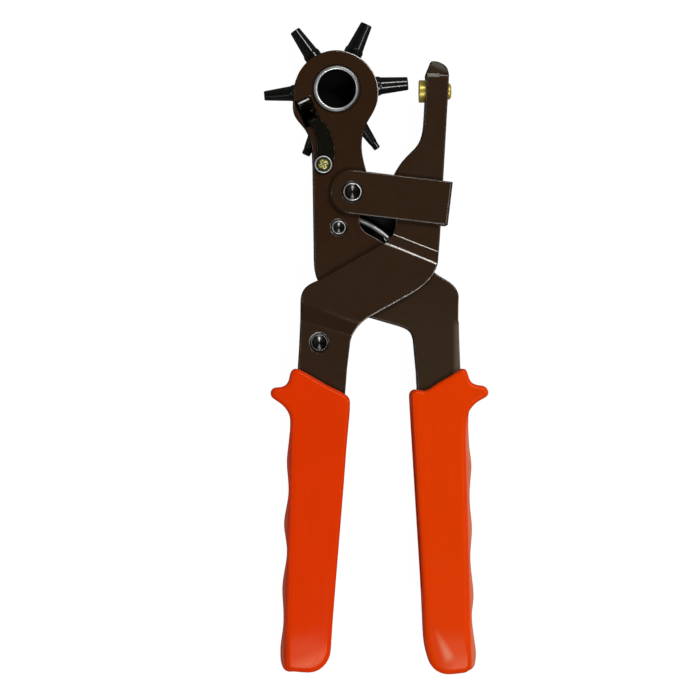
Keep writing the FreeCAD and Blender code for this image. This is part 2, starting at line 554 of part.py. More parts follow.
l_body = [(-29.75, -8.27), (-24.18, -11.35), (-18.20, -14.74), (-12.4, -17.75),
          (-10.95, -19.1), (-10.55, -21.4), (-10.73, -25.40), (-11.43, -32.86), (-12.53, -46.80), (-13.92, -64.32),
          (-15.91, -88.61), (-16.75, -99.18), (-17.32, -106.83), (-17.74, -113.72),
          (-18.55, -118.78), (-20.50, -121.80), (-22.95, -123.63), (-25.40, -124.32),
          (-29.15, -124.23), (-32.41, -123.96), (-34.13, -123.50), (-35.05, -122.20),
          (-35.28, -119.44), (-35.24, -113.70),
          (-35.06, -103.02), (-34.46, -83.61), (-33.86, -63.91), (-33.50, -45.79), (-33.20, -30.36),
          (-33.46, -26.08), (-35.30, -22.90), (-38.28, -20.45), (-40.75, -17.9), (-39.9, -15.65),
          (-36.47, -15.0), (-34.10, -13.3), (-33.26, -10.26), (-31.75, -8.07)]
l_ridge = [(-28.10, -13.56), (-16.14, -20.34), (-13.34, -23.93), (-13.74, -39.89), (-15.24, -64.42),
           (-17.53, -91.73), (-19.13, -109.68), (-20.72, -117.05), (-24.51, -121.64), (-29.60, -123.2),
           (-32.84, -124.18), (-35.07, -123.79), (-36.38, -122.17), (-36.96, -118.98),
           (-36.99, -115.64), (-36.61, -112.18), (-35.99, -107.74),
           (-35.85, -100.68), (-36.25, -92.70), (-35.80, -88.00), (-34.80, -82.20),
           (-34.50, -77.40), (-35.15, -72.20), (-35.60, -68.00), (-34.81, -62.01),
           (-33.91, -56.03), (-34.11, -49.85), (-34.51, -43.47), (-33.91, -37.29),
           (-33.31, -31.50), (-32.91, -26.92), (-33.51, -23.33), (-35.51, -20.54),
           (-37.32, -18.34), (-35.91, -16.35), (-31.90, -14.76)]
l_pocket = block([(-10.0, 5.0), (-11.70, -15.34), (-13.03, -35.89), (-17.62, -92.7),
                  (-19.55, -94.80), (-30.46, -94.80), (-32.20, -92.7), (-31.36, -29.9),
                  (-31.14, -15.3), (-30.20, 5.0)], -OUT_LOW - 0.04, OUT_LOW + 0.04)
l_slot = block([(-5.0, -28.0), (-14.6, -28.0), (-18.6, -93.0), (-5.0, -93.0)],
               -OUT_LOW - 0.04, OUT_LOW + 0.04)
put("left_grip", grip(l_body, l_ridge, l_pocket, l_slot, 6.4))

r_body = [(31.75, -8.37), (27.03, -11.16), (22.00, -14.15), (17.38, -16.34), (14.70, -15.95),
          (13.10, -16.95), (12.75, -19.4), (13.05, -24.90), (13.96, -39.84), (15.36, -62.75), (16.97, -88.65),
          (17.70, -103.59), (17.92, -108.71), (18.50, -114.49), (19.77, -119.43),
          (21.15, -122.41), (23.49, -124.25), (25.91, -125.06), (28.90, -125.10),
          (32.54, -124.69), (34.62, -124.08), (35.61, -122.74), (35.88, -119.94),
          (34.90, -110.5), (34.62, -93.66), (34.22, -71.74),
          (33.62, -47.83), (33.52, -30.89), (34.15, -26.50), (36.15, -22.75), (39.40, -20.0),
          (42.45, -17.65), (41.45, -14.95), (38.21, -14.15), (35.81, -12.86), (34.62, -9.97),
          (33.02, -7.87)]
r_ridge = [(30.30, -13.17), (18.86, -19.56), (15.74, -23.94), (16.25, -39.90), (17.65, -63.85),
           (18.86, -91.78), (19.86, -109.74), (21.97, -118.12), (25.98, -122.12), (30.37, -123.60),
           (32.72, -124.17), (35.43, -123.76), (37.01, -122.57), (37.74, -120.34),
           (37.93, -117.08), (37.63, -114.01), (37.13, -110.75), (36.63, -106.91),
           (36.39, -101.78), (36.99, -96.19), (36.69, -90.41), (35.99, -84.42),
           (35.79, -79.03), (36.19, -73.64), (36.39, -68.65), (35.89, -63.26),
           (35.49, -57.08), (35.79, -50.89), (36.19, -44.90), (35.49, -38.92),
           (35.09, -33.53), (34.99, -27.34), (35.59, -23.15), (37.37, -20.16),
           (39.16, -17.76), (37.76, -15.97), (33.37, -14.37)]
r_pocket = block([(13.85, 5.0), (15.14, -9.17), (15.54, -16.85), (16.84, -35.89),
                  (19.85, -92.71), (21.84, -94.80), (29.80, -94.80), (31.45, -92.72),
                  (31.90, -29.91), (32.25, -13.96), (32.10, 5.0)], -OUT_LOW - 0.04, OUT_LOW + 0.04)
r_slot = block([(8.0, -24.0), (17.4, -24.0), (20.4, -93.0), (8.0, -93.0)],
               -OUT_LOW - 0.04, OUT_LOW + 0.04)
put("right_grip", grip(r_body, r_ridge, r_pocket, r_slot, 6.4))

# ----------------------------------------------------------------------------------------------
# onto the table, and out
# ----------------------------------------------------------------------------------------------
for name, shape in NODES.items():
    shape.translate(V(SHIFT_X, SHIFT_Y, MID_Z))
    shape.exportStep("parts/" + name + ".step")

box = FreeCAD.BoundBox()
for name, shape in NODES.items():
    box.add(shape.BoundBox)
    print("%-22s valid=%s solids=%d vol=%.1f" % (name, shape.isValid(), len(shape.Solids),
                                                shape.Volume))
print("box", box)
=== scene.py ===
import math

import bpy
import bmesh
import numpy as np
from mathutils import Vector, Matrix


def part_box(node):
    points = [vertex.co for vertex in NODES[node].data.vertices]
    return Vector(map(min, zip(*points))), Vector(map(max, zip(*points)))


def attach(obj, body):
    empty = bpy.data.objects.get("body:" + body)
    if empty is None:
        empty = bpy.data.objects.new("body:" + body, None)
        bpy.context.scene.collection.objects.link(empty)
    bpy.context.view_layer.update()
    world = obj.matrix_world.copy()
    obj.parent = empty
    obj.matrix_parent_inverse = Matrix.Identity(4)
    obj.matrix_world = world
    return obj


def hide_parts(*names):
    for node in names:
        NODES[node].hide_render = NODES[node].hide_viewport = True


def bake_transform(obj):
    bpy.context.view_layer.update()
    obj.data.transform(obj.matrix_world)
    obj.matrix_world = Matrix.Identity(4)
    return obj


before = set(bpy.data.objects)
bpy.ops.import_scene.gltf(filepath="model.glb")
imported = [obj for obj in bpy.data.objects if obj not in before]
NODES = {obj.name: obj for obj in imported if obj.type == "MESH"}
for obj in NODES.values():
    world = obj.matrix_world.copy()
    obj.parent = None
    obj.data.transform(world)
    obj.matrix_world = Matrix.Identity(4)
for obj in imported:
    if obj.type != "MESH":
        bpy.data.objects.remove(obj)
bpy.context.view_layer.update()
MID_Z = 0.0104


# ------------------------------------------------------------------------------------------
# small helpers
# ------------------------------------------------------------------------------------------
def srgb(r, g, b):
    def lin(c):
        c = c / 255.0
        return c / 12.92 if c <= 0.04045 else ((c + 0.055) / 1.055) ** 2.4
    return (lin(r), lin(g), lin(b), 1.0)


def centre(node):
    lo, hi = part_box(node)
    return tuple((a + b) / 2 for a, b in zip(lo, hi))


class Mat:
    """A small builder for node materials."""

    def __init__(self, name):
        self.m = bpy.data.materials.new(name)
        self.m.use_nodes = True
        self.t = self.m.node_tree
        self.t.nodes.clear()
        self.out = self.n("ShaderNodeOutputMaterial")
        self.coord = self.n("ShaderNodeTexCoord").outputs["Object"]

    def n(self, kind, **kw):
        node = self.t.nodes.new(kind)
        for k, v in kw.items():
            setattr(node, k, v)
        return node

    def link(self, a, b):
        self.t.links.new(a, b)

    def put(self, socket, value):
        if isinstance(value, bpy.types.NodeSocket):
            self.link(value, socket)
        else:
            socket.default_value = value

    def noise(self, scale, detail=3.0, rough=0.55, vector=None, distortion=0.0):
        n = self.n("ShaderNodeTexNoise")
        self.put(n.inputs["Vector"], vector or self.coord)
        n.inputs["Scale"].default_value = scale
        n.inputs["Detail"].default_value = detail
        n.inputs["Roughness"].default_value = rough
        n.inputs["Distortion"].default_value = distortion
        return n.outputs["Fac"]

    def ramp(self, fac, stops, mode="LINEAR"):
        n = self.n("ShaderNodeValToRGB")
        n.color_ramp.interpolation = mode
        while len(n.color_ramp.elements) > 1:
            n.color_ramp.elements.remove(n.color_ramp.elements[-1])
        n.color_ramp.elements[0].position = stops[0][0]
        n.color_ramp.elements[0].color = stops[0][1]
        for p, c in stops[1:]:
            e = n.color_ramp.elements.new(p)
            e.color = c
        self.put(n.inputs["Fac"], fac)
        return n.outputs["Color"]

    def mix(self, fac, a, b, mode="MIX"):
        n = self.n("ShaderNodeMix", data_type="RGBA", blend_type=mode)
        self.put(n.inputs[0], fac)
        self.put(n.inputs[6], a)
        self.put(n.inputs[7], b)
        return n.outputs[2]

    def math(self, op, a, b=0.0, c=None, clamp=False):
        n = self.n("ShaderNodeMath", operation=op, use_clamp=clamp)
        self.put(n.inputs[0], a)
        self.put(n.inputs[1], b)
        if c is not None:
            self.put(n.inputs[2], c)
        return n.outputs[0]

    def maprange(self, v, a, b, c=0.0, d=1.0, smooth=False):
        n = self.n("ShaderNodeMapRange")
        if smooth:
            n.interpolation_type = "SMOOTHSTEP"
        self.put(n.inputs["Value"], v)
        for k, x in (("From Min", a), ("From Max", b), ("To Min", c), ("To Max", d)):
            n.inputs[k].default_value = x
        return n.outputs["Result"]

    def scaled(self, sx, sy, sz, rot=(0, 0, 0), vector=None):
        n = self.n("ShaderNodeMapping")
        self.put(n.inputs["Vector"], vector or self.coord)
        n.inputs["Scale"].default_value = (sx, sy, sz)
        n.inputs["Rotation"].default_value = rot
        return n.outputs["Vector"]

    def around(self, c):
        """Distance from an upright axis through c, and the height above c."""
        sub = self.n("ShaderNodeVectorMath", operation="SUBTRACT")
        self.put(sub.inputs[0], self.coord)
        sub.inputs[1].default_value = c
        sep = self.n("ShaderNodeSeparateXYZ")
        self.link(sub.outputs[0], sep.inputs[0])
        r = self.math("SQRT", self.math("ADD", self.math("MULTIPLY", sep.outputs[0], sep.outputs[0]),
                                        self.math("MULTIPLY", sep.outputs[1], sep.outputs[1])))
        return r, sep.outputs[2], sep

    def bump(self, height, strength, distance, normal=None):
        n = self.n("ShaderNodeBump")
        self.put(n.inputs["Height"], height)
        n.inputs["Strength"].default_value = strength
        n.inputs["Distance"].default_value = distance
        if normal is not None:
            self.put(n.inputs["Normal"], normal)
        return n.outputs["Normal"]

    def soft_edges(self, radius):
        n = self.n("ShaderNodeBevel", samples=6)
        n.inputs["Radius"].default_value = radius
        return n.outputs["Normal"]

    def surface(self, color, rough, metallic=0.0, normal=None, coat=0.0, coat_rough=0.1,
                spec=0.5, aniso=0.0, tangent=None, sss=0.0, coat_normal=None):
        b = self.n("ShaderNodeBsdfPrincipled")
        self.put(b.inputs["Base Color"], color)
        self.put(b.inputs["Roughness"], rough)
        self.put(b.inputs["Metallic"], metallic)
        self.put(b.inputs["Specular IOR Level"], spec)
        self.put(b.inputs["Coat Weight"], coat)
        self.put(b.inputs["Coat Roughness"], coat_rough)
        self.put(b.inputs["Anisotropic"], aniso)
        if normal is not None:
            self.put(b.inputs["Normal"], normal)
        if coat_normal is not None:
            self.put(b.inputs["Coat Normal"], coat_normal)
        if tangent is not None:
            self.put(b.inputs["Tangent"], tangent)
        if sss:
            b.inputs["Subsurface Weight"].default_value = sss
            b.inputs["Subsurface Radius"].default_value = (0.002, 0.0006, 0.0002)
            b.inputs["Subsurface Scale"].default_value = 0.5
        self.link(b.outputs[0], self.out.inputs["Surface"])
        return b


def wear(node, mat):
    o = NODES[node]
    o.data.materials.clear()
    o.data.materials.append(mat.m)


# ------------------------------------------------------------------------------------------
# camera, floor and light
# ------------------------------------------------------------------------------------------
DIST = 2.0
TARGET = Vector((-0.00996, -0.00083, MID_Z))
YAW = 1.8
cam_data = bpy.data.cameras.new("camera")
cam_data.sensor_width = 36.0
cam_data.lens = 36.0 * DIST / 0.2692
cam_data.clip_start = 0.05
cam_data.clip_end = 30.0
cam = bpy.data.objects.new("camera", cam_data)
bpy.context.collection.objects.link(cam)
back = Vector((-math.sin(math.radians(YAW)), 0.0, math.cos(math.radians(YAW))))
cam.location = TARGET + back * DIST
right = Vector((0, 1, 0)).cross(back).normalized()
upv = back.cross(right)
cam.matrix_world = Matrix((
    (right.x, upv.x, back.x, cam.location.x),
    (right.y, upv.y, back.y, cam.location.y),
    (right.z, upv.z, back.z, cam.location.z),
    (0, 0, 0, 1)))
bpy.context.scene.camera = cam

bm = bmesh.new()
for x, y in ((-6, -6), (6, -6), (6, 6), (-6, 6)):
    bm.verts.new((x, y, -0.0002))
bm.faces.new(bm.verts)
floor_mesh = bpy.data.meshes.new("floor")
bm.to_mesh(floor_mesh)
bm.free()
floor = bpy.data.objects.new("floor", floor_mesh)
bpy.context.collection.objects.link(floor)
fm = Mat("floor")
fb = fm.surface((0.06, 0.06, 0.06, 1), 1.0, spec=0.0)
fb.inputs["Emission Color"].default_value = (1, 1, 1, 1)
fb.inputs["Emission Strength"].default_value = 0.98
floor.data.materials.append(fm.m)
floor.visible_glossy = False

world = bpy.data.worlds.new("world")
bpy.context.scene.world = world
world.use_nodes = True
wt = world.node_tree
wt.nodes.clear()
wo = wt.nodes.new("ShaderNodeOutputWorld")
bg = wt.nodes.new("ShaderNodeBackground")
geo = wt.nodes.new("ShaderNodeTexCoord")
sep = wt.nodes.new("ShaderNodeSeparateXYZ")
rampn = wt.nodes.new("ShaderNodeValToRGB")
ramp_stops = ((0.0, 0.05), (0.5, 0.10), (0.58, 0.14), (0.68, 0.06), (0.8, 0.03), (1.0, 0.02))
rampn.color_ramp.interpolation = "EASE"
while len(rampn.color_ramp.elements) > 1:
    rampn.color_ramp.elements.remove(rampn.color_ramp.elements[-1])
rampn.color_ramp.elements[0].position = 0.0
rampn.color_ramp.elements[0].color = (ramp_stops[0][1],) * 3 + (1,)
for pos, val in ramp_stops[1:]:
    el = rampn.color_ramp.elements.new(pos)
    el.color = (val, val, val, 1)
wt.links.new(geo.outputs["Generated"], sep.inputs[0])
half = wt.nodes.new("ShaderNodeMath")
half.operation = "MULTIPLY_ADD"
half.inputs[1].default_value = 0.5
half.inputs[2].default_value = 0.5
wt.links.new(sep.outputs[2], half.inputs[0])
wt.links.new(half.outputs[0], rampn.inputs[0])
wt.links.new(rampn.outputs[0], bg.inputs[0])
bg.inputs[1].default_value = 0.9
wt.links.new(bg.outputs[0], wo.inputs[0])


def area(name, loc, size, power, aim=(0, 0, 0), size_y=None, color=(1, 1, 1)):
    d = bpy.data.lights.new(name, "AREA")
    d.shape = "RECTANGLE"
    d.size = size
    d.size_y = size_y or size
    d.energy = power
    d.color = color
    o = bpy.data.objects.new(name, d)
    bpy.context.collection.objects.link(o)
    o.location = loc
    o.rotation_euler = (Vector(aim) - Vector(loc)).to_track_quat("-Z", "Y").to_euler()
    return o


def strip(name, azimuth, elevation, dist, length, height, power):
    """A long softbox seen from the tool at the given azimuth (from +X) and elevation."""
    az, el = math.radians(azimuth), math.radians(elevation)
    loc = (dist * math.cos(el) * math.cos(az), dist * math.cos(el) * math.sin(az),
           dist * math.sin(el))
    return area(name, loc, length, power, size_y=height)


strip("key_north_east", 60.0, 52.0, 1.7, 1.15, 0.20, 14.5)
strip("key_south", -72.0, 59.0, 1.7, 0.74, 0.16, 9.0)
strip("top_south", -84.0, 71.0, 1.7, 0.5, 0.2, 2.0)
strip("fill_east", 5.0, 42.0, 1.7, 0.45, 0.3, 2.6)
strip("fill_west", 176.0, 42.0, 1.7, 0.45, 0.3, 2.0)

bpy.context.scene.view_settings.view_transform = "Standard"
bpy.context.scene.view_settings.look = "None"
bpy.context.scene.view_settings.exposure = 0.0
bpy.context.scene.view_settings.gamma = 1.0


# ------------------------------------------------------------------------------------------
# materials
# ------------------------------------------------------------------------------------------
RIVETS = [(centre("strap_rivet"), 0.0035), (centre("link_rivet_upper"), 0.00266),
          (centre("link_rivet_lower"), 0.00325), (centre("index_screw"), 0.0033),
          (centre("wheel_axle"), 0.00877)]


def brown_paint(name, base, warm, dull=None, edge_highlight=None, bend=False):
    """Glossy stoved enamel over sheet steel. dull, if given, is its colour nearer the grips; with it
    a pale painted highlight runs along the fold of the right shank.
    The edge-highlight tuple is (azimuth, half width, lowest y, highest y, weight): edges that face
    that way get a painted highlight, and the steep outer half of every edge gets painted shade.
    bend paints highlights on the bends of the upper joggle and on the nose, and flattens those of the
    lower."""
    m = Mat(name)
    blotch = m.noise(60, 4, 0.6)
    fleck = m.noise(2600, 2, 0.6)
    dust = m.noise(900, 3, 0.7)
    col = m.mix(blotch, base, warm)
    if dull:
        sepn = m.n("ShaderNodeSeparateXYZ")
        m.link(m.coord, sepn.inputs[0])
        col = m.mix(m.maprange(sepn.outputs[1], 0.055, -0.005, 0.0, 1.0, smooth=True), col, dull)
    # painted shade: a dark ring in the paint just outside each rivet head, the index screw and the
    # axle ring
    for c, r0 in RIVETS:
        r, _, _ = m.around(c)
        rivet_shade_ring = m.math("MULTIPLY", m.maprange(r, r0 - 0.0001, r0 + 0.0001, 0.0, 1.0),
                       m.maprange(r, r0 + 0.00045, r0 + 0.0009, 1.0, 0.0, smooth=True))
        col = m.mix(m.math("MULTIPLY", rivet_shade_ring, 0.75), col, srgb(12, 9, 6))
    col = m.mix(m.maprange(fleck, 0.52, 0.72, 0.0, 0.4), col, srgb(58, 40, 27))
    col = m.mix(m.maprange(dust, 0.62, 0.8, 0.0, 0.35), col, srgb(22, 14, 8))
    # fine scratches in two directions
    s1 = m.noise(1.0, 2, 0.5, m.scaled(350, 5200, 350, (0, 0, 0.5)))
    s2 = m.noise(1.0, 2, 0.5, m.scaled(4600, 260, 300, (0, 0, 0.2)))
    scr = m.math("MAXIMUM", m.maprange(s1, 0.70, 0.76), m.maprange(s2, 0.72, 0.78))
    scr = m.math("MULTIPLY", scr, m.maprange(m.noise(45, 2), 0.5, 0.7))
    col = m.mix(m.math("MULTIPLY", scr, 0.2), col, srgb(96, 78, 60))
    pos = m.n("ShaderNodeSeparateXYZ")
    m.link(m.coord, pos.inputs[0])
    nor = m.n("ShaderNodeSeparateXYZ")
    m.link(m.n("ShaderNodeNewGeometry").outputs["Normal"], nor.inputs[0])
    coat, spec, matt = 0.75, 0.25, None
    if edge_highlight:
        az, half_width, y_lo, y_hi, weight = edge_highlight
        side = m.math("SQRT", m.math("ADD", m.math("MULTIPLY", nor.outputs[0], nor.outputs[0]),
                                     m.math("MULTIPLY", nor.outputs[1], nor.outputs[1])))
        facing = m.math("DIVIDE", m.math(
            "ADD", m.math("MULTIPLY", nor.outputs[0], math.cos(math.radians(az))),
            m.math("MULTIPLY", nor.outputs[1], math.sin(math.radians(az)))),
            m.math("ADD", side, 0.0001))
        edge_glint = m.maprange(facing, math.cos(math.radians(half_width)),
                          math.cos(math.radians(half_width * 0.6)), 0.0, 1.0)
        edge_glint = m.math("MULTIPLY", edge_glint, m.maprange(side, 0.12, 0.3))
        steep = m.maprange(side, 0.74, 0.86, 0.0, 1.0)
        edge_glint = m.math("MULTIPLY", edge_glint, m.math("SUBTRACT", 1.0, steep))
        edge_glint = m.math("MULTIPLY", edge_glint, m.maprange(pos.outputs[1], y_lo - 0.002, y_lo + 0.002))
        edge_glint = m.math("MULTIPLY", edge_glint, m.maprange(pos.outputs[1], y_hi + 0.002, y_hi - 0.002))
        edge_glint = m.math("MULTIPLY", edge_glint, m.maprange(m.noise(380, 2), 0.38, 0.56, 0.45, 1.0))
        # painted highlight on the edges that face the given azimuth
        col = m.mix(m.math("MULTIPLY", edge_glint, weight), col, srgb(228, 224, 218))
        # painted shade on the steep outer half of each edge
        col = m.mix(m.math("MULTIPLY", steep, 0.9), col, srgb(7, 4, 2))
        coat = m.maprange(steep, 0.0, 1.0, 0.75, 0.0)
    if bend:
        turn = m.math("MULTIPLY", m.maprange(nor.outputs[2], 0.988, 0.968, 0.0, 1.0),
                      m.maprange(nor.outputs[2], 0.905, 0.935, 0.0, 1.0))
        upper = m.math("MULTIPLY", m.maprange(pos.outputs[1], 0.029, 0.031),
                       m.math("MULTIPLY", m.maprange(pos.outputs[1], 0.048, 0.0465),
                              m.maprange(pos.outputs[0], 0.001, 0.003)))
        # painted highlight along the bends of the upper joggle
        col = m.mix(m.math("MULTIPLY", m.math("MULTIPLY", turn, upper), 0.62), col,
                    srgb(236, 230, 222))
        lower = m.math("MULTIPLY", m.maprange(nor.outputs[2], 0.998, 0.992, 0.0, 1.0),
                       m.maprange(pos.outputs[1], 0.020, 0.017))
        # the nose: a painted highlight along its rim, and a short painted highlight on the bend where
        # it begins
        slant = m.math("ADD", pos.outputs[1], m.math("MULTIPLY", pos.outputs[0], 0.42))
        col = m.mix(m.maprange(slant, 0.1167, 0.1183, 0.0, 0.8), col, srgb(92, 90, 78))
        across = m.math("ABSOLUTE", m.math("SUBTRACT", pos.outputs[1], 0.10455))
        near = m.math("MULTIPLY", m.maprange(across, 0.0003, 0.0007, 1.0, 0.0, smooth=True),
                      m.maprange(nor.outputs[2], 0.5, 0.7))
        nose_glint = m.math("MULTIPLY", m.maprange(pos.outputs[0], 0.0185, 0.0190),
                       m.maprange(pos.outputs[0], 0.0245, 0.0236))
        col = m.mix(m.math("MULTIPLY", m.math("MULTIPLY", near, nose_glint), 0.85), col,
                    srgb(238, 236, 230))
        rest = m.math("MULTIPLY", m.maprange(across, 0.0008, 0.0014, 1.0, 0.0),
                      m.maprange(pos.outputs[0], 0.0236, 0.0245))
        lower = m.math("MAXIMUM", lower, rest)
        coat = m.maprange(lower, 0.0, 1.0, 0.75, 0.03)
        spec = m.maprange(lower, 0.0, 1.0, 0.25, 0.04)
        matt = m.math("MULTIPLY", lower, 0.25)
    if dull:
        # painted highlight: a pale streak along the fold of the right shank
        fold_highlight = m.math("MULTIPLY", m.maprange(pos.outputs[0], 0.0289, 0.0311, 0.0, 1.0, smooth=True),
                      m.maprange(pos.outputs[1], 0.0115, 0.0080, 0.0, 1.0, smooth=True))
        col = m.mix(m.math("MULTIPLY", fold_highlight, 0.72), col, srgb(104, 92, 78))
    peel = m.noise(650, 2, 0.5)
    h = m.math("ADD", peel, m.math("MULTIPLY", scr, -0.2))
    rim = m.soft_edges(0.00065)
    nrm = m.bump(h, 0.06, 0.00005, rim)
    rough = m.maprange(m.noise(300, 3), 0.3, 0.7, 0.20, 0.26)
    if matt:
        rough = m.math("ADD", rough, matt)
    m.surface(col, rough, normal=nrm, spec=spec, coat=coat, coat_rough=0.10, coat_normal=rim)
    return m


PAINT_B = brown_paint("brown_paint_punch_lever", srgb(47, 27, 11), srgb(51, 31, 14), srgb(55, 40, 26))
PAINT_A = brown_paint("brown_paint_anvil_lever", srgb(49, 32, 17), srgb(53, 36, 21), bend=True)
EDGE_B = brown_paint("brown_edge_punch_lever", srgb(47, 27, 11), srgb(51, 31, 14), srgb(55, 40, 26),
                     edge_highlight=(36.0, 52.0, 0.088, 0.13, 1.0))
EDGE_A = brown_paint("brown_edge_anvil_lever", srgb(49, 32, 17), srgb(53, 36, 21),
                     edge_highlight=(-52.0, 46.0, -0.004, 0.046, 0.7))
PAINT_S = brown_paint("brown_paint_strap", srgb(48, 31, 16), srgb(52, 35, 19))
wear("punch_lever", PAINT_B)
wear("anvil_lever", PAINT_A)
wear("guide_strap", PAINT_S)
for piece, edge in (("punch_lever", EDGE_B), ("anvil_lever", EDGE_A)):
    NODES[piece].data.materials.append(edge.m)


def soften(node, width, weld=1e-6, flat=0.4, segments=3, angle=20.0):
    """Rounds a stamped piece's edges without touching its mesh."""
    o = NODES[node]
    w = o.modifiers.new("weld", "WELD")
    w.merge_threshold = weld
    d = o.modifiers.new("planar", "DECIMATE")
    d.decimate_type = "DISSOLVE"
    d.angle_limit = math.radians(flat)
    b = o.modifiers.new("edges", "BEVEL")
    b.width = width
    b.segments = segments
    b.limit_method = "ANGLE"
    b.angle_limit = math.radians(angle)
    b.use_clamp_overlap = False
    b.material = 1
    b.harden_normals = True


soften("punch_lever", 0.00040)
soften("anvil_lever", 0.00044, weld=1.5e-4, flat=2.0)


def black_steel(name, base, rough_lo, rough_hi, tint):
    m = Mat(name)
    col = m.mix(m.noise(220, 4, 0.6), base, tint)
    grain = m.noise(1500, 3, 0.6)
    nrm = m.bump(grain, 0.15, 0.00004, m.soft_edges(0.00015))
    m.surface(col, m.maprange(m.noise(400, 3), 0.3, 0.7, rough_lo, rough_hi), metallic=0.6,
              normal=nrm)
    return m


def leaf_spring():
    """Blackened spring leaf with its sheared end left bright and its long edges rubbed."""
    m = Mat("black_spring")
    sub = m.n("ShaderNodeVectorMath", operation="SUBTRACT")
    m.put(sub.inputs[0], m.coord)
    sub.inputs[1].default_value = (-0.02621, 0.09604, 0.0)
    dot = m.n("ShaderNodeVectorMath", operation="DOT_PRODUCT")
    m.link(sub.outputs[0], dot.inputs[0])
    dot.inputs[1].default_value = (0.4295, -0.903, 0.0)
    s = dot.outputs["Value"]
    end = m.maprange(s, 0.00098, 0.00112, 1.0, 0.0)
    streak = m.noise(1.0, 2, 0.5, m.scaled(500, 4000, 500, (0, 0, 0.44)))
    col = m.mix(m.noise(220, 4, 0.6), srgb(15, 12, 0), srgb(9, 7, 0))
    col = m.mix(m.maprange(m.noise(700, 4, 0.7), 0.62, 0.72, 0.0, 0.35), col, srgb(56, 54, 28))
    end_col = m.mix(m.maprange(streak, 0.4, 0.6), srgb(245, 245, 238), srgb(170, 168, 158))
    col = m.mix(end, col, end_col)
    geo = m.n("ShaderNodeNewGeometry")
    bev = m.n("ShaderNodeBevel", samples=6)
    bev.inputs["Radius"].default_value = 0.00016
    dif = m.n("ShaderNodeVectorMath", operation="DOT_PRODUCT")
    m.link(geo.outputs["Normal"], dif.inputs[0])
    m.link(bev.outputs[0], dif.inputs[1])
    edge = m.maprange(dif.outputs["Value"], 0.995, 0.93, 0.0, 1.0)
    edge = m.math("MULTIPLY", edge, m.maprange(m.noise(420, 2), 0.45, 0.6))
    col = m.mix(m.math("MULTIPLY", edge, 0.7), col, srgb(190, 190, 180))
    nrm = m.bump(m.noise(1500, 3, 0.6), 0.15, 0.00004, bev.outputs[0])
    metal = m.maprange(end, 0.0, 1.0, 0.3, 0.1)
    m.surface(col, m.maprange(m.noise(400, 3), 0.3, 0.7, 0.34, 0.46), metallic=metal, normal=nrm,
              spec=0.12)
    return m


wear("index_spring", leaf_spring())
dark = black_steel("black_plate", srgb(16, 15, 15), 0.5, 0.7, srgb(10, 10, 10))
for n in ("guide_tongue", "lever_link", "turret_wheel"):
    wear(n, dark)


def tube_steel(name, base):
    m = Mat(name)
    col = m.mix(m.noise(500, 3, 0.6), base, srgb(13, 13, 12))
    nrm = m.bump(m.noise(900, 2, 0.5), 0.03, 0.00002, m.soft_edges(0.00012))
    m.surface(col, m.maprange(m.noise(700, 2), 0.3, 0.7, 0.16, 0.24), metallic=0.7, normal=nrm,
              coat=0.6, coat_rough=0.12)
    return m


for t in ("2_0", "2_5", "3_0", "3_5", "4_0", "4_5"):
    wear("punch_tube_%smm" % t, tube_steel("tube_%s" % t, srgb(44, 44, 42)))


def turned(name, node, base, rough=0.3, pitch=0.00022, aniso=0.75, depth=0.3, metal=1.0):
    m = Mat(name)
    r, z, sepn = m.around(centre(node))
    rings = m.math("SINE", m.math("MULTIPLY", r, 2 * math.pi / pitch))
    tang = m.n("ShaderNodeTangent", direction_type="RADIAL", axis="Z").outputs[0]
    nrm = m.bump(rings, depth, 0.00002, m.soft_edges(0.0001))
    col = m.mix(m.noise(900, 3), base, srgb(150, 148, 144))
    m.surface(col, rough, metallic=metal, normal=nrm, aniso=aniso, tangent=tang)
    return m


def rivet_head(node, rim, bright=215):
    """A turned head: a rim painted bright as a highlight round a face painted near black for its dark
    reflection, with painted fan-shaped glints and painted shade in the groove inside the rim.
    """
    m = Mat("turned_" + node)
    r, z, sepn = m.around(centre(node))
    ang = m.math("ARCTAN2", sepn.outputs[1], sepn.outputs[0])
    glint_fan = m.math("ABSOLUTE", m.math("SINE", ang))
    glint_fan = m.math("MULTIPLY", m.math("POWER", glint_fan, 40.0),
                 m.maprange(r, 0.0002, rim * 0.35, 0.2, 1.0))
    face = m.maprange(r, rim - 0.00046, rim - 0.0003, 1.0, 0.0, smooth=True)
    grain = m.noise(1.0, 3, 0.6, m.scaled(1400, 1400, 1400))
    # painted highlight: glints fanning out to the north and south on the face
    col = m.mix(m.math("MULTIPLY", glint_fan, 0.55), srgb(11, 11, 9), srgb(240, 240, 236))
    col = m.mix(m.maprange(grain, 0.4, 0.7, 0.0, 0.3), col, srgb(38, 38, 33))
    # painted shade in the groove just inside the rim
    groove_shade = m.maprange(r, rim - 0.0007, rim - 0.00046, 0.0, 1.0, smooth=True)
    col = m.mix(m.math("MULTIPLY", groove_shade, 0.8), col, srgb(14, 14, 12))
    # the rim painted bright as a highlight, to a level set per rivet
    col = m.mix(face, srgb(bright, bright, bright - 3), col)
    rings = m.math("SINE", m.math("MULTIPLY", r, 2 * math.pi / 0.00030))
    tang = m.n("ShaderNodeTangent", direction_type="RADIAL", axis="Z").outputs[0]
    nrm = m.bump(rings, 0.12, 0.00001, m.soft_edges(0.0001))
    m.surface(col, 0.30, metallic=0.75, normal=nrm, aniso=0.5, tangent=tang)
    return m


